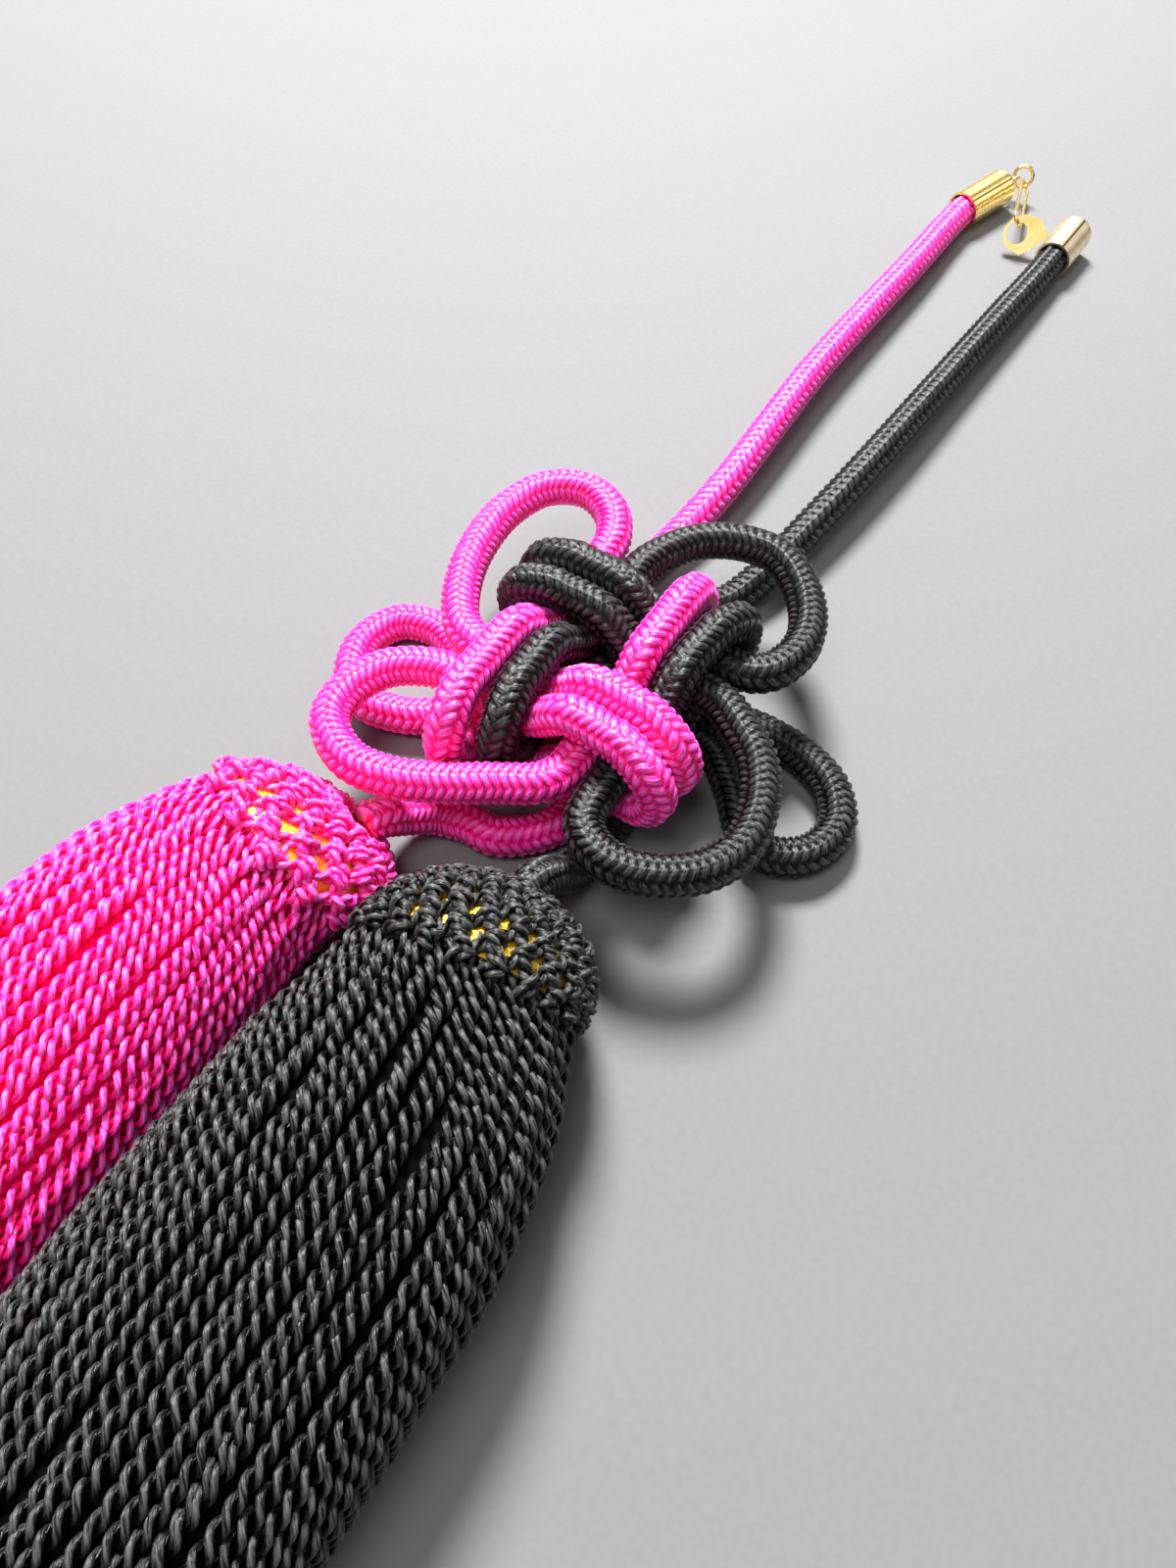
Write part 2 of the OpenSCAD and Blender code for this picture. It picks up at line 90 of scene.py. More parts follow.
# Black loops at the top, the right and the lower right
loop_top = [[-0.9, 3.7, 0.5], [-0.4, 4.8, 0.5], [0.5, 5.5, 0.5], [1.6, 5.7, 0.5], [2.5, 5.25, 0.5],
            [3.25, 4.4, 0.5], [3.6, 3.4, 0.5], [3.4, 2.4, 0.5]]
loop_right = [[3.7, 2.05, -1.5], [4.8, 1.95, -1.5], [5.8, 1.5, -1.5], [6.4, 0.6, -1.5],
              [6.2, -0.4, -1.5], [5.4, -0.95, -1.5], [4.6, -0.65, -1.5], [3.8, 0.2, -1.5]]
loop_lower_right = [[3.6, 0.5, 0.5], [4.4, -0.1, 0.5], [5, -1.1, 0.5], [5.2, -2.2, 0.5],
                    [4.8, -3.2, 0.5], [3.9, -3.9, 0.5], [2.9, -4.1, 0.5], [2.1, -3.7, 0.5]]
# Cord ends that run down into the tassel heads
pink_tail = [[0.6, -3.5, -1.5], [-0.1, -4.1, -1.5], [-0.95, -4.2, -1.5], [-1.65, -4.5, -1.35],
             [-2.04, -5.1, -0.93], [-2.17, -5.55, -0.5], [-2.28, -5.85, -0.35], [-2.38, -6.13, -0.29]]
black_tail = [[1.95, -3.5, -1.5], [1.95, -4, -1.3], [1.94, -4.45, -0.8], [1.91, -4.9, -0.15],
              [1.89, -5.35, 0.2], [1.92, -5.83, 0.31]]


def band(side, entry, lane, tip, reach):
    """One strand of a band: in under the next band, over it, round the edge and back behind.

    entry, lane and tip are offsets across the band, and reach is where the strand turns back.
    """
    near, far = (5 * lane + tip) / 6, (2 * lane + tip) / 3
    points = [[-2.8, entry, 0.5], [-1.85, (entry + lane) / 2, 0.5], [-0.95, lane, 0.5],
              [-0.45, lane, 0.6], [0, lane, 1], [0.45, lane, 1.4], [0.95, lane, 1.5],
              [reach / 2, near, 1.5], [reach - 1, far, 1.5], [reach - 0.3, tip, 1.2],
              [reach, tip, 0.5], [reach - 0.3, tip, -0.2], [reach - 1, far, -0.5],
              [reach / 2, near, -0.5], [0.95, lane, -0.5], [0.45, lane, -0.6], [0, lane, -1],
              [-0.45, lane, -1.4], [-0.95, lane, -1.5], [-1.85, lane, -1.5], [-2.8, lane, -1.5]]
    points = [[y, x, z] for x, y, z in points]
    for _ in range(side):
        points = [[y, -x, z] for x, y, z in points]
    return points


pink_route = (
    pink_leg + band(WEST, 1.95, 1.95, 1.75, 3.7)[::-1] + loop_upper_left
    + band(SOUTH, 0.9, 0.95, 1.15, 3.05) + loop_left + band(SOUTH, 1.95, 1.95, 2.15, 3)[::-1]
    + loop_lower_left + band(EAST, 0.9, 0.95, 0.85, 3.2) + pink_tail)
black_route = (
    black_leg + band(WEST, 0.95, 0.95, 0.75, 3)[::-1] + loop_top
    + band(NORTH, 1.95, 1.95, 1.8, 3.05) + loop_right + band(NORTH, 0.9, 0.95, 0.8, 3)[::-1]
    + loop_lower_right + band(EAST, 1.9, 1.95, 2.2, 3) + black_tail)


# Curves and frames
def unit(v):
    """The vectors v[..., k] at length 1."""
    v = np.asarray(v, float)
    return v / np.linalg.norm(v, axis=-1, keepdims=True)


def catmull_rom(points, t):
    """Points of the uniform Catmull-Rom curve through points[..., n, k] at t, from 0 to n - 1."""
    points = np.asarray(points, float)
    last = points.shape[-2] - 1
    i = np.clip(np.floor(t).astype(int), 0, last - 1)
    f = (t - i)[:, None]
    a, b = points[..., np.maximum(i - 1, 0), :], points[..., i, :]
    c, d = points[..., i + 1, :], points[..., np.minimum(i + 2, last), :]
    return 0.5 * (2 * b + (c - a) * f + (2 * a - 5 * b + 4 * c - d) * f ** 2
                  + (3 * b - a - 3 * c + d) * f ** 3)


def run_length(path, steps=1.0):
    """Length of a path[n, k] from its start to each point, in steps that may change along it."""
    lengths = np.linalg.norm(np.diff(path, axis=0), axis=1)
    return np.concatenate([[0], np.cumsum(lengths / np.broadcast_to(steps, len(path))[1:])])


def resampled(path, steps):
    """The same path with points steps apart; steps holds one value for each point of the path."""
    run = run_length(path, steps)
    at = np.arange(int(run[-1]) + 1)
    return np.stack([np.interp(at, run, path[:, k]) for k in range(3)], axis=1)


def square_to(v, along):
    """The unit vectors square to along that are nearest to v."""
    return unit(v - (v * along).sum(-1, keepdims=True) * along)


def frames(paths, first=UP):
    """Normals of paths[..., rows, 3], carried along without twist, and the binormals."""
    tangents = unit(np.gradient(paths, axis=-2))
    normals = np.empty_like(tangents)
    n = np.broadcast_to(first, tangents[..., 0, :].shape)
    for i in range(paths.shape[-2]):
        n = square_to(n, tangents[..., i, :])
        normals[..., i, :] = n
    return normals, np.cross(tangents, normals)


class Skin:
    """Gathers closed tubes and turns them into one mesh with a UV map."""

    def __init__(self):
        self.points, self.quads, self.quad_uvs, self.tris, self.tri_uvs = [], [], [], [], []
        self.count = 0

    def tubes(self, rings, uvs):
        """Adds rings[tubes, rows, columns, 3] in millimetres; uvs[tubes, rows, columns + 1, 2]."""
        tubes, rows, columns = rings.shape[:3]
        index = self.count + np.arange(tubes * rows * columns).reshape(tubes, rows, columns)
        right = np.roll(index, -1, axis=2)
        self.quads.append(np.stack([index[:, :-1], right[:, :-1], right[:, 1:], index[:, 1:]],
                                   axis=-1).reshape(-1, 4))
        self.quad_uvs.append(np.stack([uvs[:, :-1, :-1], uvs[:, :-1, 1:], uvs[:, 1:, 1:],
                                       uvs[:, 1:, :-1]], axis=-2).reshape(-1, 2))
        self.points.append(rings.reshape(-1, 3))
        self.count += tubes * rows * columns
        self.close(rings[:, 0], right[:, 0], index[:, 0], uvs[:, 0])
        self.close(rings[:, -1], index[:, -1], right[:, -1], uvs[:, -1])

    def close(self, rims, a, b, uvs):
        """Closes rims[tubes, columns, 3] by fans from their middles to their edges a to b."""
        tubes, columns = a.shape
        middle = np.repeat(self.count + np.arange(tubes)[:, None], columns, axis=1)
        self.points.append(rims.mean(axis=1))
        self.count += tubes
        self.tris.append(np.stack([middle, a, b], axis=-1).reshape(-1, 3))
        self.tri_uvs.append(np.repeat(uvs[:, :-1, None], 3, axis=2).reshape(-1, 2))

    def piece(self, name, material, slot, replaced=()):
        """Makes one object of all the tubes, which stands for the replaced nodes."""
        points = np.concatenate(self.points) * MM
        quads, tris = np.concatenate(self.quads), np.concatenate(self.tris)
        uvs = np.concatenate(self.quad_uvs + self.tri_uvs)
        mesh = bpy.data.meshes.new(name)
        mesh.vertices.add(len(points))
        mesh.vertices.foreach_set("co", points.astype(np.float32).ravel())
        corners = np.concatenate([quads.ravel(), tris.ravel()])
        mesh.loops.add(len(corners))
        mesh.loops.foreach_set("vertex_index", corners.astype(np.int32))
        totals = np.concatenate([np.full(len(quads), 4), np.full(len(tris), 3)]).astype(np.int32)
        mesh.polygons.add(len(totals))
        mesh.polygons.foreach_set("loop_start", np.cumsum(totals, dtype=np.int32) - totals)
        mesh.polygons.foreach_set("loop_total", totals)
        mesh.polygons.foreach_set("use_smooth", np.ones(len(totals), bool))
        mesh.update(calc_edges=True)
        layer = mesh.uv_layers.new(name=UV_MAP)
        layer.data.foreach_set("uv", uvs.astype(np.float32).ravel())
        mesh.validate()
        piece = bpy.data.objects.new(name, mesh)
        bpy.context.scene.collection.objects.link(piece)
        mesh.materials.append(material)
        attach(piece, "root")
        if replaced:
            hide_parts(*replaced)
        print(name, "triangles:", 2 * len(quads) + len(tris))


# Procedural materials. These sockets of a Mix node of colours are found by number.
MIX_A, MIX_B, MIX_RESULT = 6, 7, 2
# Detail of the noise in a UV map, and in an object's own space where nothing else is said
UV_DETAIL, OBJECT_DETAIL = 3.0, 2.0


class Nodes:
    """Short calls for the nodes of a tree."""

    def __init__(self, tree):
        self.tree = tree

    def feed(self, socket, value):
        """Links value to the socket where it is a socket itself, and otherwise sets it."""
        if isinstance(value, bpy.types.NodeSocket):
            self.tree.links.new(value, socket)
        else:
            socket.default_value = value

    def node(self, kind, inputs=None, **settings):
        made = self.tree.nodes.new(kind)
        for key, value in settings.items():
            setattr(made, key, value)
        for key, value in (inputs or {}).items():
            self.feed(made.inputs[key], value)
        return made

    def math(self, operation, a, b=0.0, c=0.0):
        return self.node("ShaderNodeMath", {0: a, 1: b, 2: c}, operation=operation).outputs[0]

    def product(self, value, *factors):
        for factor in factors:
            value = self.math("MULTIPLY", value, factor)
        return value

    def vector_math(self, operation, a, b=(0, 0, 0)):
        return self.node("ShaderNodeVectorMath", {0: a, 1: b}, operation=operation)

    def mix(self, share, a, b):
        made = self.node("ShaderNodeMix", {0: share, MIX_A: a, MIX_B: b}, data_type="RGBA")
        return made.outputs[MIX_RESULT]

    def ramp(self, value, low, high, least=0.0, most=1.0):
        """least below low, most above high, straight between."""
        inputs = {0: value, 1: low, 2: high, 3: least, 4: most}
        return self.node("ShaderNodeMapRange", inputs).outputs[0]

    def noise(self, place, scale, detail):
        inputs = {"Vector": place, "Scale": scale, "Detail": detail}
        return self.node("ShaderNodeTexNoise", inputs).outputs[0]


class Shader(Nodes):
    """A Principled material; values holds socket values, with _ for each space in a name."""

    def __init__(self, name, **values):
        self.material = bpy.data.materials.new(name)
        self.material.use_nodes = True
        super().__init__(self.material.node_tree)
        self.main = self.tree.nodes["Principled BSDF"].inputs
        for key, value in values.items():
            self.main[key.replace("_", " ")].default_value = value

    def uv(self):
        place = self.node("ShaderNodeUVMap", uv_map=UV_MAP).outputs[0]
        parts = self.node("ShaderNodeSeparateXYZ", {0: place})
        return parts.outputs[0], parts.outputs[1]

    def uv_noise(self, u, v, cells):
        """Noise with this many cells for each unit of U and of V."""
        x, y = self.product(u, cells[0]), self.product(v, cells[1])
        place = self.node("ShaderNodeCombineXYZ", {0: x, 1: y, 2: 0.0}).outputs[0]
        return self.noise(place, 1.0, UV_DETAIL)

    def object_noise(self, cells, detail=OBJECT_DETAIL):
        """Noise with this many cells for each metre."""
        return self.noise(self.node("ShaderNodeTexCoord").outputs["Object"], cells, detail)

    def finish(self, colour, roughness=None, height=None, depth=0.0):
        """The material with this colour, roughness and bump, whose depth is in metres."""
        self.feed(self.main["Base Color"], colour)
        if roughness is not None:
            self.feed(self.main["Roughness"], roughness)
        if height is not None:
            inputs = {"Strength": 1.0, "Distance": depth, "Height": height}
            self.feed(self.main["Normal"], self.node("ShaderNodeBump", inputs).outputs[0])
        return self.material

    def satin(self, colour, fibre, roughness, depth, rotation):
        """Fibres with a long highlight, which lies along U, turned by a share of a circle."""
        self.main["Anisotropic"].default_value = ANISOTROPY
        self.main["Anisotropic Rotation"].default_value = rotation
        tangent = self.node("ShaderNodeTangent", direction_type="UV_MAP", uv_map=UV_MAP)
        self.feed(self.main["Tangent"], tangent.outputs[0])
        rough = self.math("MULTIPLY_ADD", fibre, FIBRE_ROUGHNESS, roughness - FIBRE_POLISH)
        return self.finish(colour, rough, fibre, depth)


# Satin fibres: how far they stretch the highlight, how much they add to the roughness and how far
# it is lowered first, and the range of their noise that shows as streaks in a crest's painted highlight
ANISOTROPY = 0.85
FIBRE_ROUGHNESS, FIBRE_POLISH = 0.25, 0.12
STREAKS = (0.38, 0.56)

# Braid: where a stitch lifts out of the painted shade of its groove, and where its crest gets the
# painted highlight, as ranges of its dome along it and of its ragged dome across it, and how ragged
# the fibres make that. Cells of the fibres for each U and V, depth of their bump in metres, and turn of
# their highlight.
STITCH_BODY = (0.05, 0.35), (0.2, 0.5)
STITCH_CREST = (0.25, 0.75), (0.35, 0.75)
STITCH_RAGGED = 1.3
BRAID_CELLS = (1.4, 6.5)
BRAID_DEPTH, BRAID_ROTATION = 0.0002, 0.25
# Patches with duller crests: cells for each metre, range of their noise, and strength
DULL_CELLS, DULL_RANGE, DULL_SHARE = 90.0, (0.45, 0.7), 0.2


def braid_material(name, groove_shade, body, crest_highlight, gloss):
    """Satin braid: U counts the columns round the cord, V counts the stitches along it."""
    s = Shader(name, **gloss)
    u, v = s.uv()
    odd = s.math("FLOORED_MODULO", s.math("FLOOR", u), 2.0)
    phase = s.math("FRACT", s.math("MULTIPLY_ADD", odd, 0.5, v))
    dome = s.math("SINE", s.product(phase, math.pi))
    across = s.math("SINE", s.product(s.math("FRACT", u), math.pi))
    fibre = s.uv_noise(u, v, BRAID_CELLS)
    ragged = s.math("MULTIPLY_ADD", s.math("SUBTRACT", fibre, 0.5), STITCH_RAGGED, across)
    along_body, across_body = STITCH_BODY
    # Painted shade: the groove colour where a stitch dips at its ends and edges. Painted highlight: the
    # crest colour on its dome, in fibre streaks.
    lift = s.product(s.ramp(dome, *along_body), s.ramp(ragged, *across_body))
    along_crest, across_crest = STITCH_CREST
    highlight_mask = s.product(s.ramp(dome, *along_crest), s.ramp(ragged, *across_crest), s.ramp(fibre, *STREAKS))
    dull = s.product(s.ramp(s.object_noise(DULL_CELLS), *DULL_RANGE), DULL_SHARE)
    colour = s.mix(dull, s.mix(highlight_mask, s.mix(lift, groove_shade, body), crest_highlight), body)
    return s.satin(colour, fibre, gloss["Roughness"], BRAID_DEPTH, BRAID_ROTATION)


# Yarn: where a ply lifts out of the painted shade of the groove, and where its crest gets the painted
# highlight, as ranges across it and of how far outward it lies on its rope. Fibres as in the braid.
PLY_BODY = (0.4, 0.72), (-0.7, 0.2)
PLY_CREST = (0.7, 0.98), (-0.5, 0.5)
YARN_CELLS = (15.0, 2.2)
YARN_DEPTH, YARN_ROTATION = 0.0004, 0.0
# How far single plies may be duller
PLY_VARIETY = 0.4
# Ropes with both plies in one tube have U values above this one
FUSED_U = 5000


def yarn_material(name, groove_shade, body, crest_highlight, gloss):
    """Twisted rope: U runs round each ply, V is whole where the ply lies outermost on its rope."""
    s = Shader(name, **gloss)
    u, v = s.uv()
    # Where a ply dives into its rope, out fades it to the painted groove shade and takes off its painted
    # highlight.
    out = s.math("MAXIMUM", s.math("COSINE", s.product(v, 2 * math.pi)),
                 s.math("GREATER_THAN", u, FUSED_U))
    each = s.node("ShaderNodeTexWhiteNoise", {"W": s.math("FLOOR", u)}, noise_dimensions="1D")
    ply = s.math("ABSOLUTE", s.math("COSINE", s.product(s.math("FRACT", u), 2 * math.pi)))
    fibre = s.uv_noise(u, v, YARN_CELLS)
    across_body, out_body = PLY_BODY
    lift = s.product(s.ramp(ply, *across_body), s.ramp(out, *out_body))
    across_crest, out_crest = PLY_CREST
    highlight_mask = s.product(s.ramp(ply, *across_crest), s.ramp(fibre, *STREAKS), s.ramp(out, *out_crest))
    dull = s.product(each.outputs[0], lift, PLY_VARIETY)
    colour = s.mix(dull, s.mix(highlight_mask, s.mix(lift, groove_shade, body), crest_highlight), body)
    return s.satin(colour, fibre, gloss["Roughness"], YARN_DEPTH, YARN_ROTATION)


# Fine bands of the matt bodies behind the ropes, in cells for each U and V
SHADE_CELLS = (60.0, 1.0)


def shade_material(name, dark, light):
    """The matt depth of a skirt in painted shade, with faint bands across it."""
    s = Shader(name, Roughness=0.95, Specular_IOR_Level=0.05)
    return s.finish(s.mix(s.uv_noise(*s.uv(), SHADE_CELLS), dark, light))


# Plated metal: cells of its wear for each metre and their range, and how its grain shows
WEAR_CELLS, WEAR_RANGE = 300.0, (0.4, 0.7)
GRAIN_DETAIL, GRAIN_RANGE, GRAIN_ROUGHNESS, GRAIN_DEPTH = 4.0, (0.35, 0.7), 0.12, 0.00002
# The caps' radius as in the CAD source, and the edges of the dark line along a cap's seam, in
# millimetres from the seam
CAP_R = 4.1
SEAM_INNER, SEAM_OUTER = 0.15, 0.3
SEAM_SHADE = (0.12, 0.06, 0.01, 1)


def cap_seam(at, heading, turn):
    """A point of a cap's seam in millimetres, and the cap's axis; turn is from straight up."""
    h, t = math.radians(heading), math.radians(turn)
    axis = np.array([math.sin(h), math.cos(h), 0.0])
    beside = np.array([math.cos(h), -math.sin(h), 0.0])
    return np.array(at) + KNOT_AT + CAP_R * (math.sin(t) * beside + math.cos(t) * UP), axis


def gold_material(name, colour, worn, roughness, grain, seam=None):
    """Plated metal with grain cells for each metre; seam is what cap_seam gives."""
    s = Shader(name, Metallic=1.0)
    fine = s.object_noise(grain, GRAIN_DETAIL)
    tint = s.mix(s.ramp(s.object_noise(WEAR_CELLS), *WEAR_RANGE), colour, worn)
    rough = s.math("MULTIPLY_ADD", s.ramp(fine, *GRAIN_RANGE), GRAIN_ROUGHNESS, roughness)
    if seam:
        point, axis = seam
        place = s.node("ShaderNodeTexCoord").outputs["Object"]
        away = s.vector_math("SUBTRACT", place, point * MM).outputs[0]
        away = s.vector_math("CROSS_PRODUCT", away, axis).outputs[0]
        distance = s.vector_math("LENGTH", away).outputs["Value"]
        tint = s.mix(s.ramp(distance, SEAM_INNER * MM, SEAM_OUTER * MM), SEAM_SHADE, tint)
    return s.finish(tint, rough, fine, GRAIN_DEPTH)


# The gold thread: cells for each U and V, range of its painted glints, how much they add to its
# roughness, and the depth of its bump in metres
THREAD_CELLS, GLINT_RANGE = (0.35, 2.0), (0.35, 0.65)
GLINT_ROUGHNESS, THREAD_ROUGHNESS, THREAD_DEPTH = 0.3, 0.2, 0.0001


def thread_material(name, dark, light):
    """Fine metal thread: U counts the sides of its form, V counts the turns of thread."""
    s = Shader(name, Metallic=0.6)
    shine = s.uv_noise(*s.uv(), THREAD_CELLS)
    rough = s.math("MULTIPLY_ADD", shine, GLINT_ROUGHNESS, THREAD_ROUGHNESS)
    return s.finish(s.mix(s.ramp(shine, *GLINT_RANGE), dark, light), rough, shine, THREAD_DEPTH)


# Colours of the painted shade in the grooves, of the body, and of the painted highlight on the crests
PINK = ((0.85, 0.0, 0.15, 1), (1.0, 0.012, 0.32, 1), (1.0, 0.16, 0.7, 1))
PINK_YARN = ((1.0, 0.0, 0.16, 1), (1.0, 0.003, 0.26, 1), (1.0, 0.19, 0.8, 1))
BLACK = ((0.0003, 0.0003, 0.0004, 1), (0.003, 0.003, 0.0034, 1), (0.055, 0.055, 0.057, 1))
BLACK_YARN = ((0.0003, 0.0003, 0.0003, 1), (0.002, 0.002, 0.002, 1), (0.095, 0.095, 0.093, 1))
PINK_GLOSS = dict(Roughness=0.32, Specular_IOR_Level=0.4, Sheen_Weight=0.06, Sheen_Roughness=0.4,
                  Sheen_Tint=(1.0, 0.45, 0.9, 1))
BLACK_GLOSS = dict(Roughness=0.38, Specular_IOR_Level=0.3)
# Metal's colour, its worn colour, roughness and grain
GOLD = ((1.0, 0.78, 0.32, 1), (0.97, 0.68, 0.22, 1), 0.2, 4000.0)
PALE_GOLD = ((0.93, 0.76, 0.5, 1), (0.84, 0.66, 0.42, 1), 0.3, 6000.0)
# Place, heading and turn of the caps' seams, as in the CAD source
PINK_CAP_SEAM = ((-11.6, 173, 4.2), 14.5, 35)
BLACK_CAP_SEAM = ((13.75, 166.4, 4.2), 1.7, 20)

pink_braid = braid_material("pink_braid", *PINK, PINK_GLOSS)
black_braid = braid_material("black_braid", *BLACK, BLACK_GLOSS)
pink_yarn = yarn_material("pink_yarn", *PINK_YARN, PINK_GLOSS)
black_yarn = yarn_material("black_yarn", *BLACK_YARN, BLACK_GLOSS)
# Painted shade: colours of the bodies that stand for the inner ropes in the depth of each skirt
pink_shade = shade_material("pink_shade", (0.95, 0.0, 0.12, 1), (1.0, 0.0, 0.18, 1))
black_shade = shade_material("black_shade", (0.0005, 0.0005, 0.0006, 1), (0.003, 0.003, 0.003, 1))
gold_metal = gold_material("gold_metal", *GOLD)
gold_cap = gold_material("gold_cap", *GOLD, cap_seam(*PINK_CAP_SEAM))
pale_gold_cap = gold_material("pale_gold_cap", *PALE_GOLD, cap_seam(*BLACK_CAP_SEAM))
# Gold thread: orange for painted shade, yellow for painted glints
gold_thread = thread_material("gold_thread", (1.0, 0.45, 0.02, 1), (1.0, 0.78, 0.10, 1))

# Braided cords. Eight columns of slanted stitches go round a cord; neighbouring columns slant
# opposite ways and are half a stitch apart, so that their ends interlock. Lengths of a stitch in
# the legs and in the knot, and the stretch above the knot's centre where one turns to the other.
LEG_STITCH, KNOT_STITCH = 1.95, 1.45
LEG_END, KNOT_START = 60, 30
# Radius of a cord in its grooves and on its crests
GROOVE_R, CREST_R = 2.88, 3.4
COLUMNS = 8
POINTS_PER_COLUMN = 4
ROWS_PER_STITCH = 6
# How far a stitch slants across its column, in half rows
SLANT = 8
# Points of a path for each point of its route
POINTS_PER_STEP = 14
# A stitch's form: height of its edges and shoulders, how round it is along its length, and how
# far its edges wave sideways, as a share of a column
EDGE_HEIGHT, SHOULDER_HEIGHT = 0.15, 0.78
STITCH_ROUNDNESS = 0.7
EDGE_WAVE = 0.2


def braided_cord(name, route, material, slot, node):
    """A braid along a route. Its path has two points for each row, so a slant can be half rows."""
    steps = len(route) - 1
    path = catmull_rom(route, np.linspace(0, steps, POINTS_PER_STEP * steps + 1)) * PITCH
    path[:, 2] = np.maximum(CREST_R, MID_Z + path[:, 2])
    in_knot = np.clip((LEG_END - path[:, 1]) / (LEG_END - KNOT_START), 0, 1)
    stitch = LEG_STITCH + (KNOT_STITCH - LEG_STITCH) * in_knot
    path = resampled(path + KNOT_AT, stitch / (2 * ROWS_PER_STITCH))
    normals, binormals = frames(path)

    k = np.arange(COLUMNS * POINTS_PER_COLUMN)
    column, u = k // POINTS_PER_COLUMN, (k % POINTS_PER_COLUMN) / POINTS_PER_COLUMN
    slant = np.where(column % 2 == 0, 1, -1) * (u - 0.5) * SLANT
    rows = (len(path) - 1 - 2 * ROWS_PER_STITCH) // 2
    i = np.arange(rows)[:, None]
    index = (2 * i + ROWS_PER_STITCH + slant).astype(int)
    phase = np.mod(i / ROWS_PER_STITCH + 0.5 * (column % 2), 1)
    edge, middle = u == 0, u == 0.5
    dome = np.sin(np.pi * phase) ** STITCH_ROUNDNESS
    height = np.where(edge, EDGE_HEIGHT, np.where(middle, 1.0, SHOULDER_HEIGHT) * dome)
    wave = np.where(edge, EDGE_WAVE * np.cos(2 * np.pi * phase), 0.0)
    angle = 2 * np.pi * (k / POINTS_PER_COLUMN + wave) / COLUMNS
    radius = GROOVE_R + (CREST_R - GROOVE_R) * height
    ring = (path[index] + (radius * np.cos(angle))[..., None] * normals[index]
            + (radius * np.sin(angle))[..., None] * binormals[index])

    uvs = np.empty((rows, len(k) + 1, 2))
    uvs[..., 0] = np.arange(len(k) + 1) / POINTS_PER_COLUMN
    uvs[..., 1] = i / ROWS_PER_STITCH
    skin = Skin()
    skin.tubes(ring[None], uvs[None])
    skin.piece(name, material, slot, [node])


braided_cord("pink_braided_cord", pink_route, pink_braid, "pink_braid", "pink_cord")
braided_cord("black_braided_cord", black_route, black_braid, "black_braid", "black_cord")

# Twisted ropes: two plies, wound to the left. Radius of a rope, and length of its twist.
ROPE_R = 1.24
TWIST = 5.0
# Section of a rope in one tube, as shares of its radius: how round its two lobes are, its waist
# between them, and its size at the ends
LOBE_ROUNDNESS, WAIST = 0.9, 0.36
ROPE_END = 0.55
# Size of a separate ply at its ends, as a share of its radius
PLY_END = 0.6


def first_turns(start, step, twist, rows):
    """Turn of each rope's first ply at each row, from the ropes' starting turns."""
    return start[:, None] - 2 * np.pi * step / twist * np.arange(rows)


def rope_rings(paths, sides, step, start):
    """Rings and UVs of two-ply ropes along paths[ropes, rows, 3] with points step apart."""
    ropes, rows = paths.shape[:2]
    normals, binormals = frames(paths)
    around = 2 * np.pi * np.arange(sides) / sides
    section = ROPE_R * np.maximum(np.abs(np.cos(around)) ** LOBE_ROUNDNESS, WAIST)
    angle = first_turns(start, step, TWIST, rows)[..., None] + around
    size = np.ones(rows)
    size[[0, -1]] = ROPE_END
    reach = section * size[:, None]
    rings = (paths[:, :, None] + (reach * np.cos(angle))[..., None] * normals[:, :, None]
             + (reach * np.sin(angle))[..., None] * binormals[:, :, None])
    uvs = np.empty((ropes, rows, sides + 1, 2))
    uvs[..., 0] = FUSED_U + 1 + np.arange(ropes)[:, None, None] + np.arange(sides + 1) / sides
    uvs[..., 1] = (np.arange(rows) * step / TWIST)[None, :, None]
    return rings, uvs


def ply_rings(paths, sides, step, ply_r, helix_r, first, start, twist):
    """Rings and UVs of the two separate plies of each rope along paths[ropes, rows, 3].

    The plies lie helix_r from the path, and first points outward from what the ropes lie on.
    """
    ropes, rows = paths.shape[:2]
    normals, binormals = frames(paths, first)
    turn = first_turns(start, step, twist, rows)
    turn = np.concatenate([turn, turn + np.pi])[..., None]
    out = (np.cos(turn) * np.concatenate([normals, normals])
           + np.sin(turn) * np.concatenate([binormals, binormals]))
    reach = np.broadcast_to(helix_r, (ropes, rows))
    lines = np.concatenate([paths, paths]) + np.concatenate([reach, reach])[..., None] * out
    tangents = unit(np.gradient(lines, axis=-2))
    out = square_to(out, tangents)
    beside = np.cross(tangents, out)
    around = 2 * np.pi * np.arange(sides + 1) / sides - np.pi
    across, along = np.cos(around[:-1])[:, None], np.sin(around[:-1])[:, None]
    size = np.full(rows, float(ply_r))
    size[[0, -1]] = PLY_END * ply_r
    section = across * out[:, :, None] + along * beside[:, :, None]
    rings = lines[:, :, None] + size[:, None, None] * section
    uvs = np.empty((2 * ropes, rows, sides + 1, 2))
    uvs[..., 0] = np.arange(2 * ropes)[:, None, None] + 0.5 + around / (4 * np.pi)
    uvs[..., 1] = -turn / (2 * np.pi)
    return rings, uvs


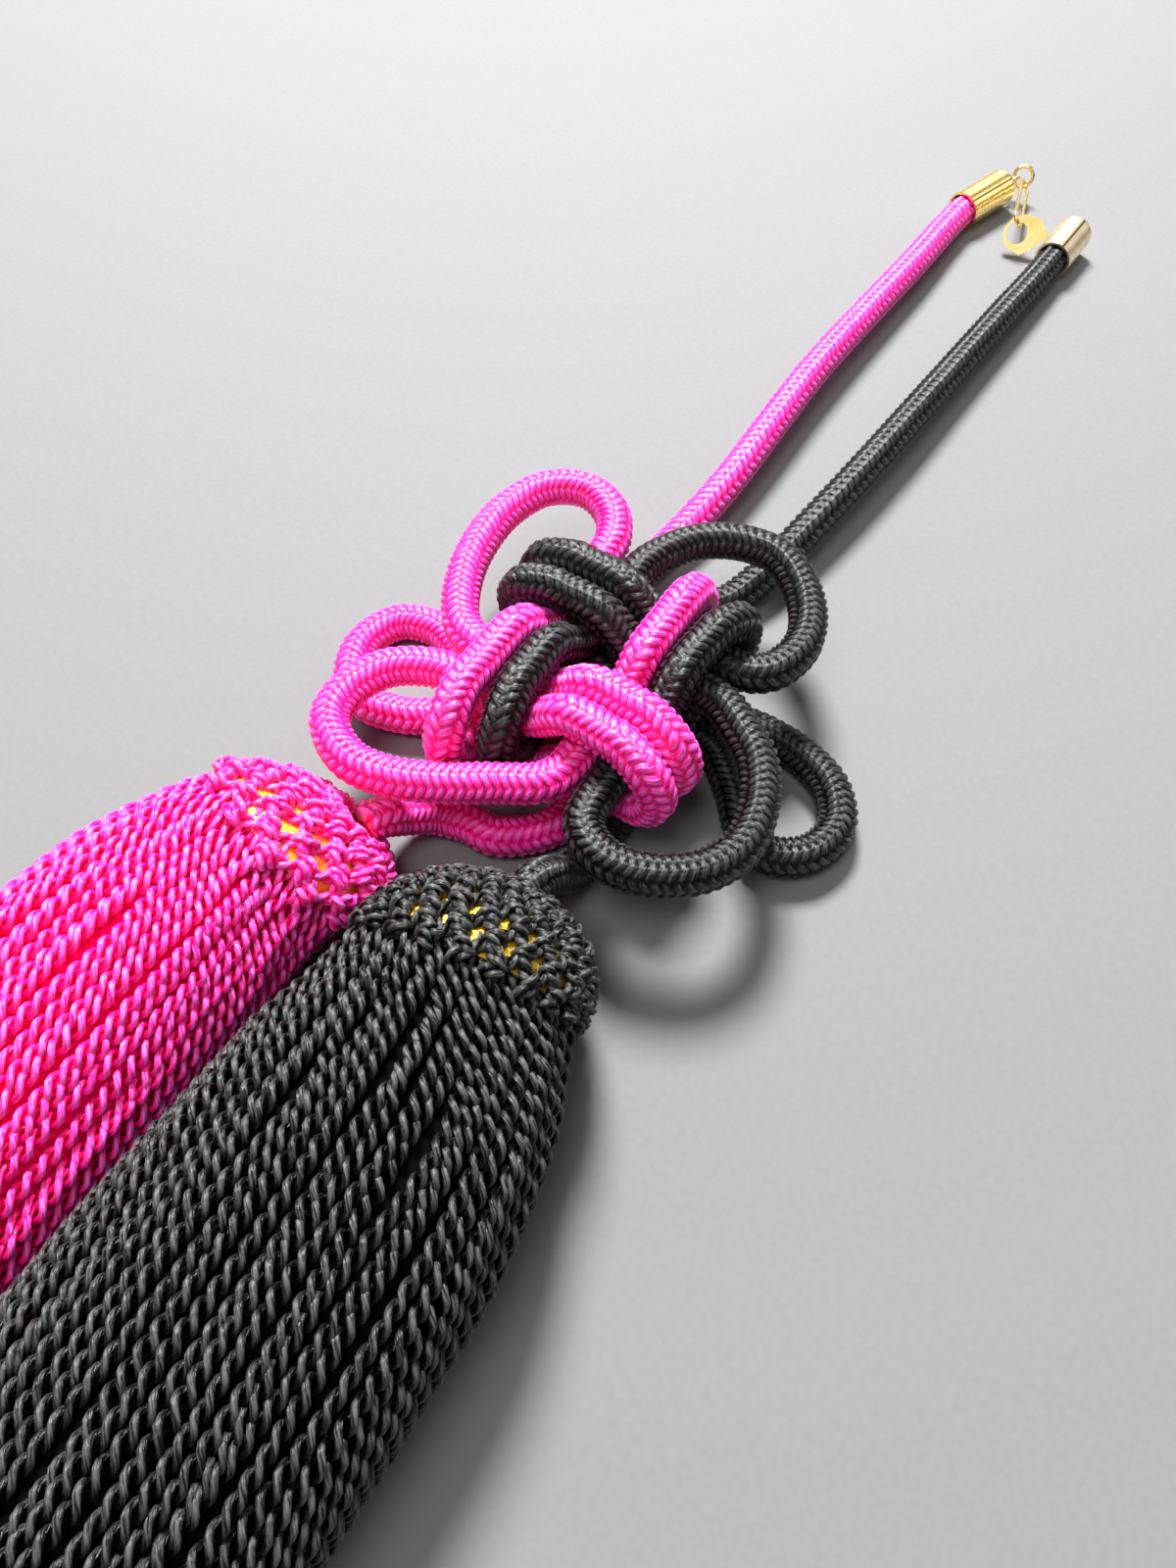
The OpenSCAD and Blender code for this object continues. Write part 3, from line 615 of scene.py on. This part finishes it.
# Skirt sections from the head down, in millimetres and degrees: x, y, half width, middle height,
# half height, lean. They are the CAD source's, with the first three wider, so that the ropes come
# out from under the nets.
pink_skirt_rows = [[-19.5, -48.6, 13.4, 14.6, 13.4, -22], [-20.5, -51.2, 14.4, 15.2, 14.4, -22],
                   [-21.9, -54.8, 15.8, 15.6, 15.3, -20], [-23.8, -60.5, 17.4, 15.6, 15.6, -14],
                   [-25.4, -68, 19, 15.6, 15.9, -7], [-26.5, -77.5, 20.1, 15.6, 16, -2],
                   [-27.1, -92, 20.8, 15.6, 16, 0], [-27.3, -113, 21, 15.4, 15.8, 0],
                   [-27.4, -134, 21.2, 14.9, 15.3, 0], [-27.5, -158, 21.3, 14.2, 14.6, 0],
                   [-27.6, -181, 21.2, 13.4, 13.8, 0]]
black_skirt_rows = [[14, -48.6, 15.2, 16.8, 15.2, -12.5], [14.5, -53.2, 16.4, 17, 16.4, -12.5],
                    [15, -56.8, 17.8, 17.2, 17.2, -11], [15.9, -62.5, 19.6, 17.3, 17.3, -8],
                    [17, -70, 21.8, 17.3, 17.5, -4], [18, -79, 23.4, 17.2, 17.6, -1],
                    [18.7, -93, 24.2, 17.1, 17.6, 0], [18.9, -111, 24.6, 16.9, 17.4, 0],
                    [18.6, -132, 24.4, 16.1, 16.6, 0], [18.2, -158, 24, 15, 15.5, 0],
                    [17.9, -181, 23.4, 13.8, 14.2, 0]]
LAST_ROW = 10
# The ropes run this far past the last section
TIP_LEN = 2.5
# Part of a section's spacing over which its heading is taken, and points of the curves along a
# skirt and round a section
HEADING_STEP = 0.05
SKIRT_POINTS, SECTION_POINTS = 4000, 721


def skirt_section(rows, v):
    """Values of the sections at stations v, which count the rows, with one more for the tips."""
    rows = np.array(rows, float)
    beyond = rows[-1] + (rows[-1] - rows[-2]) * [1, 1, 0, 0, 0, 0]
    return catmull_rom(np.vstack([rows, beyond]), v)


def skirt_surface(rows, v, turn, inset):
    """Points inset below the skirt's envelope at stations v[n] and angles turn[..., n]."""
    x, y, half_w, mid_z, half_h, lean = skirt_section(rows, v).T
    ahead = skirt_section(rows, np.minimum(v + HEADING_STEP, len(rows)))
    behind = skirt_section(rows, np.maximum(v - HEADING_STEP, 0))
    heading = unit(ahead[:, :2] - behind[:, :2])
    lean = np.radians(lean)
    side = np.stack([-heading[:, 1], heading[:, 0], 0 * lean], axis=-1)
    upper = np.stack([-heading[:, 0] * np.sin(lean), -heading[:, 1] * np.sin(lean), np.cos(lean)],
                     axis=-1)
    centre = np.stack([x, y, mid_z], axis=-1)
    return (centre + ((half_w - inset) * np.cos(turn))[..., None] * side
            + ((half_h - inset) * np.sin(turn))[..., None] * upper) + KNOT_AT


def skirt_stations(rows, step):
    """Stations at equal distances of about step down the skirt, to the ends of the tips."""
    tip_rows = TIP_LEN / math.dist(rows[-1][:2], rows[-2][:2])
    fine = np.linspace(0, LAST_ROW + tip_rows, SKIRT_POINTS)
    run = run_length(skirt_section(rows, fine)[:, :2])
    count = int(round(run[-1] / step)) + 1
    return np.interp(np.linspace(0, run[-1], count), run, fine)


def equal_turns(rows, station, inset, count):
    """Angles that part the section at a station in equal arcs."""
    fine = np.linspace(0, 2 * np.pi, SECTION_POINTS)
    points = skirt_surface(rows, np.full(SECTION_POINTS, float(station)), fine, inset)
    points[:, 2] = np.maximum(points[:, 2], inset)
    run = run_length(points)
    return np.interp(np.arange(count) / count * run[-1], run, fine)


def wander(count, v, knots, amount):
    """Smooth random offsets along count ropes, zero at their starts, on curves of knots points."""
    values = rng.normal(0, 1, (count, knots, 1))
    values[:, :2] = 0
    t = v / v[-1] * (knots - 1)
    return amount * catmull_rom(values, t)[..., 0]


def end_headings(paths):
    """The direction of each path[ropes, rows, 3] at its end, ready to scale by rows."""
    return unit(paths[:, -1] - paths[:, -3])[:, None]


def random_turns(count):
    return rng.rand(count) * 2 * np.pi


# Ropes of a skirt. They part one section in equal arcs, and the half width of another turns their
# sideways offsets into angles. Those above this sine of their place have separate plies. Sides of
# a tube and rows for each twist, of plies and of whole ropes.
PARTED_ROW, WIDTH_ROW = 6, 5
PLIES_ABOVE = -0.35
PLY_SIDES, PLY_ROWS = 5, 8
ROPE_SIDES, ROPE_ROWS = 6, 5
# Radius of a separate ply, and its distance from the rope's middle
PLY_R, PLY_REACH = 0.49, 0.6
# Knots and size in millimetres of a rope's random curves: sideways, inward, and between its plies
SIDEWAYS, INWARD, LOOSE = (9, 0.6), (7, 0.4), (25, 0.14)
# How far a rope stands proud of the envelope, how far one may be sunk as a whole, and how far
# every second rope is tucked under at the top, over this many sections
PROUD, SUNK = 0.1, 0.3
TUCK, TUCKED_ROWS = 0.9, 4
# The ends are uneven by this length either way, from a stretch that grows with this power
UNEVEN, STRETCH_POWER = 1.4, 8


def rope_paths(rows, v, turns):
    """Paths of ropes that start at these turns, and where outward is at their starts."""
    count = len(turns)
    knots, amount = SIDEWAYS
    turn = turns[:, None] + wander(count, v, knots, amount / rows[WIDTH_ROW][2])
    tucked = TUCK * (np.arange(count) % 2)[:, None] * np.clip(1 - v / TUCKED_ROWS, 0, 1)
    inset = ROPE_R - PROUD + np.abs(wander(count, v, *INWARD)) + SUNK * rng.rand(count)[:, None] + tucked
    paths = skirt_surface(rows, v, turn, inset)
    paths[..., 2] = np.maximum(paths[..., 2], ROPE_R)
    stretch = np.linspace(0, 1, len(v))[None, :, None] ** STRETCH_POWER
    paths = paths + stretch * rng.uniform(-UNEVEN, UNEVEN, (count, 1, 1)) * end_headings(paths)
    return paths, unit(skirt_surface(rows, v, turn, inset - 1)[:, 0] - paths[:, 0])


def skirt_ropes(name, rows, count, material, slot, node):
    """The ropes round a skirt: separate plies above, and whole ropes below."""
    turns = equal_turns(rows, PARTED_ROW, ROPE_R, count)
    above = np.sin(turns) > PLIES_ABOVE
    skin = Skin()

    step = TWIST / PLY_ROWS
    v = skirt_stations(rows, step)
    paths, outward = rope_paths(rows, v, turns[above])
    start = random_turns(len(paths))
    reach = PLY_REACH + np.abs(wander(len(paths), v, *LOOSE))
    skin.tubes(*ply_rings(paths, PLY_SIDES, step, PLY_R, reach, outward, start, TWIST))

    step = TWIST / ROPE_ROWS
    paths, _ = rope_paths(rows, skirt_stations(rows, step), turns[~above])
    skin.tubes(*rope_rings(paths, ROPE_SIDES, step, random_turns(len(paths))))
    skin.piece(name, material, slot, [node])


# The matt body behind the ropes, which stands for the inner ropes in painted shade: stations where
# it starts and ends, its rows and sides, how deep it lies, its least height, and its U and V
SHADE_START, SHADE_END = 0.15, 9.8
SHADE_ROWS, SHADE_SIDES = 40, 48
SHADE_INSET, SHADE_MIN_Z = 2.9, 0.4
SHADE_U, SHADE_V = 0.25, 25


def skirt_shade(name, rows, material, slot):
    """A body in painted shade that closes the gaps between the ropes, short of the free end."""
    v = np.linspace(SHADE_START, SHADE_END, SHADE_ROWS)
    around = np.linspace(0, 2 * np.pi, SHADE_SIDES + 1)[:-1]
    rings = np.stack([skirt_surface(rows, v, np.full(SHADE_ROWS, a), SHADE_INSET) for a in around],
                     axis=1)
    rings[..., 2] = np.maximum(rings[..., 2], SHADE_MIN_Z)
    uvs = np.full((1, SHADE_ROWS, SHADE_SIDES + 1, 2), SHADE_U)
    uvs[..., 1] = np.linspace(0, SHADE_V, SHADE_ROWS)[None, :, None]
    skin = Skin()
    skin.tubes(rings[None], uvs)
    skin.piece(name, material, slot)


# Rings of inner ropes at the free end: how many, how deep the outermost lies, and the distances
# between rings and between ropes. Rows of a rope and for each twist, its least height above the
# floor as a share of its depth, and how far it may fall short of the end or pass it.
INNER_RINGS = 5
INNER_INSET, RING_PITCH, INNER_PITCH = 4.4, 2.15, 2.3
INNER_ROWS, INNER_TWIST_ROWS = 16, 6
INNER_HEIGHT = 0.9
INNER_SHORT, INNER_LONG = 1.6, 0.6


def skirt_inside(name, rows, material, slot):
    """The ends of the inner ropes, which fill the free end."""
    step = TWIST / INNER_TWIST_ROWS
    v = skirt_stations(rows, step)[-INNER_ROWS:]
    half_w, half_h = rows[-1][2], rows[-1][4]
    inner = []
    for ring in range(INNER_RINGS):
        inset = INNER_INSET + ring * RING_PITCH
        mean_r = math.sqrt(((half_w - inset) ** 2 + (half_h - inset) ** 2) / 2)
        fits = int(2 * np.pi * mean_r / INNER_PITCH)
        turn = equal_turns(rows, LAST_ROW, inset, fits)[:, None] + 0 * v
        paths = skirt_surface(rows, v, turn, inset)
        paths[..., 2] = np.maximum(paths[..., 2], inset * INNER_HEIGHT)
        inner.append(paths + rng.uniform(-INNER_SHORT, INNER_LONG, (fits, 1, 1)) * end_headings(paths))
    paths = np.concatenate(inner)
    skin = Skin()
    skin.tubes(*rope_rings(paths, ROPE_SIDES, step, random_turns(len(paths))))
    skin.piece(name, material, slot)


skirt_ropes("pink_skirt_ropes", pink_skirt_rows, 52, pink_yarn, "pink_yarn", "pink_skirt")
skirt_shade("pink_skirt_shade", pink_skirt_rows, pink_shade, "pink_yarn")
skirt_inside("pink_skirt_inside", pink_skirt_rows, pink_yarn, "pink_yarn")
skirt_ropes("black_skirt_ropes", black_skirt_rows, 57, black_yarn, "black_yarn", "black_skirt")
skirt_shade("black_skirt_shade", black_skirt_rows, black_shade, "black_yarn")
skirt_inside("black_skirt_inside", black_skirt_rows, black_yarn, "black_yarn")

# Netted heads, as in the CAD source: centre of the rim, radius, length, heading from -Y toward +X
# and rise of the axis, and heading and rise of the rim's facing
pink_head = ((-20.5, -51.2, 15.2), 15.6, 12.4, (-24, 20), (-21, -22))
black_head = ((14.5, -53.2, 17), 17.6, 16.0, (6, 6.5), (8, -12.5))
# A head's surface is flattened below so that it keeps this height above the floor
FLOOR_GAP = 0.3


def toward(heading, rise):
    """The direction at a heading from -Y toward +X and a rise, in degrees."""
    h, r = math.radians(heading), math.radians(rise)
    return np.array([math.sin(h) * math.cos(r), -math.cos(h) * math.cos(r), math.sin(r)])


def head_point(head, polar, turn, inset):
    """Point of a head at polar and turn, in degrees, and inset below its surface."""
    centre, radius, length, axis, rim = head
    axis, rim = toward(*axis), toward(*rim)
    side = unit(np.cross(UP, rim))
    upper = np.cross(rim, side)
    a, b = np.radians(polar)[..., None], np.radians(turn)[..., None]
    depth = np.asarray(inset, float)[..., None]
    p = (np.array(centre) - (length - depth) * np.cos(a) * axis
         + (radius - depth) * np.sin(a) * (np.cos(b) * side + np.sin(b) * upper))
    p[..., 2] = np.maximum(p[..., 2], FLOOR_GAP + inset)
    return p + KNOT_AT


# Nets: angles from the apex where the strands start and where the rows of knots lie, down to the
# rim, twist of the yarn, and the spread of its random turns
STRANDS_START, NET_TOP, NET_BOTTOM = 13.0, 24, 90
NET_ROWS = 5
NET_POLAR = np.array([STRANDS_START] + [NET_TOP + (NET_BOTTOM - NET_TOP) * k / NET_ROWS
                                        for k in range(NET_ROWS + 1)])
NET_TWIST = 4.0
NET_TURNS = 6
# Strands: points along one and sides of a ply, then as shares of a strand's radius the depth below
# the surface of the two ways that cross, and the radius and reach of the plies
STRAND_POINTS, STRAND_SIDES = 9, 5
SHALLOW, DEEP = 0.9, 1.3
STRAND_PLY, STRAND_REACH = 0.52, 0.48
# Wraps over each crossing: how many, their radius, the arc that each covers either way in degrees
# and its points, how far it leans and slides at random, its height as a share of its reach, and
# the radius and reach of its plies as shares of its radius
WRAPS = 2
WRAP_R = 1.0
WRAP_ARC, WRAP_POINTS = 125, 10
WRAP_LEAN, WRAP_SLIDE = 0.9, 0.15
WRAP_HEIGHT = 0.8
WRAP_PLY, WRAP_REACH = 0.54, 0.46
# Angle in degrees between two points of a head that give a direction on it
NUDGE = 2.0


def knot_turn(count, row, number):
    """Angle of a knot round a net; every second row lies half a mesh further."""
    return 360 / count * (number + (row % 2) / 2)


def net_strands(head, count, strand_r):
    """Two strands from each knot down to the next row, one to each side."""
    share = np.linspace(0, 1, STRAND_POINTS)
    strands = []
    for row in range(len(NET_POLAR) - 1):
        polar = NET_POLAR[row] + (NET_POLAR[row + 1] - NET_POLAR[row]) * share
        for number in range(count):
            for way, depth in ((-0.5, SHALLOW), (0.5, DEEP)):
                turn = knot_turn(count, row, number) + way * (360 / count) * share
                strands.append(head_point(head, polar, turn, strand_r * depth))
    return np.array(strands)


def net_wraps(head, count, strand_r, reach, spread):
    """Turns of yarn over each crossing, and where outward is at their starts."""
    arc = np.radians(np.linspace(-WRAP_ARC, WRAP_ARC, WRAP_POINTS))
    paths, outward = [], []
    for row in range(1, len(NET_POLAR)):
        for number in range(count):
            polar, turn = NET_POLAR[row], knot_turn(count, row, number)
            at = head_point(head, polar, turn, strand_r)
            down = unit(head_point(head, polar + NUDGE, turn, strand_r) - at)
            beside = unit(head_point(head, polar, turn + NUDGE, strand_r) - at)
            out = unit(np.cross(beside, down))
            for wrap in range(WRAPS):
                lean = rng.uniform(-WRAP_LEAN, WRAP_LEAN)
                across = unit(np.cross(unit(down + lean * beside), out))
                offset = (wrap - (WRAPS - 1) / 2) * spread * WRAP_R
                centre = at + offset * down + rng.uniform(-WRAP_SLIDE, WRAP_SLIDE) * across
                paths.append(centre + reach * np.sin(arc)[:, None] * across
                             + WRAP_HEIGHT * reach * np.cos(arc)[:, None] * out)
                outward.append(np.sin(arc[0]) * across + np.cos(arc[0]) * out)
    paths = np.array(paths)
    paths[..., 2] = np.maximum(paths[..., 2], WRAP_R)
    return paths, np.array(outward)


def net_yarn(paths, sides, ply_r, helix_r, outward):
    """Rings and UVs of the yarn along paths[strands, rows, 3], which starts at random turns."""
    step = np.linalg.norm(np.diff(paths, axis=1), axis=2).mean()
    start = rng.rand(len(paths)) * NET_TURNS
    return ply_rings(paths, sides, step, ply_r, helix_r, outward, start, NET_TWIST)


def head_net(name, head, material, slot, node, count, strand_r, reach, spread, sides):
    """A net of diamond meshes: strands between crossings, and a wrapped knot on each crossing.

    count meshes go round it. reach and spread are a knot's size across and down the head, and
    sides is the number of sides of each ply in a knot.
    """
    skin = Skin()
    strands = net_strands(head, count, strand_r)
    outward = unit(strands[:, 0] - KNOT_AT - np.array(head[0]))
    skin.tubes(*net_yarn(strands, STRAND_SIDES, STRAND_PLY * strand_r, STRAND_REACH * strand_r, outward))
    wraps, outward = net_wraps(head, count, strand_r, reach, spread)
    skin.tubes(*net_yarn(wraps, sides, WRAP_PLY * WRAP_R, WRAP_REACH * WRAP_R, outward))
    skin.piece(name, material, slot, [node])


# Gold forms: angles from the apex where they start and end, their rows and sides, depth below the
# surface, and height of the ridges
FORM_START, FORM_END = 10, 87
FORM_ROWS, FORM_SIDES = 50, 96
FORM_INSET, RIDGE = 1.9, 0.12


def thread_form(name, head, material, slot, node):
    """The gold form under a net, wound with fine thread."""
    polar = np.linspace(FORM_START, FORM_END, FORM_ROWS)
    turns = np.linspace(0, 360, FORM_SIDES + 1)[:-1]
    inset = FORM_INSET + RIDGE * (np.arange(FORM_ROWS) % 2)
    rings = np.stack([head_point(head, polar, np.full(FORM_ROWS, a), inset) for a in turns], axis=1)
    uvs = np.empty((1, FORM_ROWS, FORM_SIDES + 1, 2))
    uvs[..., 0] = np.arange(FORM_SIDES + 1)
    uvs[..., 1] = np.arange(FORM_ROWS)[None, :, None]
    skin = Skin()
    skin.tubes(rings[None], uvs)
    skin.piece(name, material, slot, [node])


head_net("pink_knotted_net", pink_head, pink_yarn, "pink_yarn", "pink_head_net",
         count=12, strand_r=1.05, reach=1.3, spread=1.5, sides=5)
head_net("black_knotted_net", black_head, black_yarn, "black_yarn", "black_head_net",
         count=22, strand_r=1.1, reach=0.95, spread=1.6, sides=4)
thread_form("pink_head_gold", pink_head, gold_thread, "gold_core", "pink_head_core")
thread_form("black_head_gold", black_head, gold_thread, "gold_core", "black_head_core")

# Carried-over metal parts
finishes = {
    "pink_end_cap": gold_cap, "jump_ring": gold_metal, "long_link": gold_metal,
    "clasp_plate": gold_metal, "black_end_cap": pale_gold_cap,
}
for node_name, material in finishes.items():
    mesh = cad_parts[node_name].data
    mesh.materials.clear()
    mesh.materials.append(material)

# Floor: its edges in metres, and the cells of its grain for each metre
FLOOR_LEFT, FLOOR_RIGHT, FLOOR_FRONT, FLOOR_BACK = -2, 2, -2, 3
FLOOR_CELLS, FLOOR_DETAIL = 900.0, 3.0
floor_corners = [(FLOOR_LEFT, FLOOR_FRONT, 0), (FLOOR_RIGHT, FLOOR_FRONT, 0),
                 (FLOOR_RIGHT, FLOOR_BACK, 0), (FLOOR_LEFT, FLOOR_BACK, 0)]
floor_mesh = bpy.data.meshes.new("floor")
floor_mesh.from_pydata(floor_corners, [], [(0, 1, 2, 3)])
floor = bpy.data.objects.new("floor", floor_mesh)
bpy.context.scene.collection.objects.link(floor)
paper = Shader("floor_paper", Roughness=0.75, Specular_IOR_Level=0.2)
grain = paper.object_noise(FLOOR_CELLS, FLOOR_DETAIL)
floor_mesh.materials.append(
    paper.finish(paper.mix(grain, (0.17, 0.17, 0.173, 1), (0.2, 0.2, 0.203, 1))))

# Soft studio light, in metres and watts: name, place, target, size, power. A key light from the
# upper left, behind the knot, three dim panels that the metal mirrors, and a weak one overhead.
LAMPS = (
    ("key_light", (-0.40, 0.50, 0.80), (0, 0, 0), 0.3, 34),
    ("back_panel", (-0.35, 1.25, 0.62), (0, 0.1, 0), 0.9, 2.8),
    ("side_panel", (0.72, 1.0, 0.75), (0, 0.1, 0), 0.8, 2.4),
    ("front_panel", (0.2, -1.25, 0.60), (0, 0.1, 0), 0.9, 2.4),
    ("overhead_light", (0.0, -0.35, 1.0), (0, -0.05, 0), 0.4, 4),
)
for name, place, target, size, power in LAMPS:
    light = bpy.data.lights.new(name, "AREA")
    light.shape = "DISK"
    light.size = size
    light.energy = power
    lamp = bpy.data.objects.new(name, light)
    lamp.location = place
    lamp.rotation_euler = (Vector(target) - Vector(place)).to_track_quat("-Z", "Y").to_euler()
    bpy.context.scene.collection.objects.link(lamp)

# A dim sky that brightens from just under the horizon upward
SKY_HEIGHTS, SKY_STRENGTHS = (-0.1, 0.9), (0.05, 0.22)
world = bpy.data.worlds.new("studio")
world.use_nodes = True
sky = Nodes(world.node_tree)
direction = sky.node("ShaderNodeTexCoord").outputs["Generated"]
height = sky.node("ShaderNodeSeparateXYZ", {0: direction}).outputs[2]
background = world.node_tree.nodes["Background"].inputs
sky.feed(background["Color"], (1, 1, 1, 1))
sky.feed(background["Strength"], sky.ramp(height, *SKY_HEIGHTS, *SKY_STRENGTHS))
bpy.context.scene.world = world
bpy.context.scene.view_settings.view_transform = "Standard"
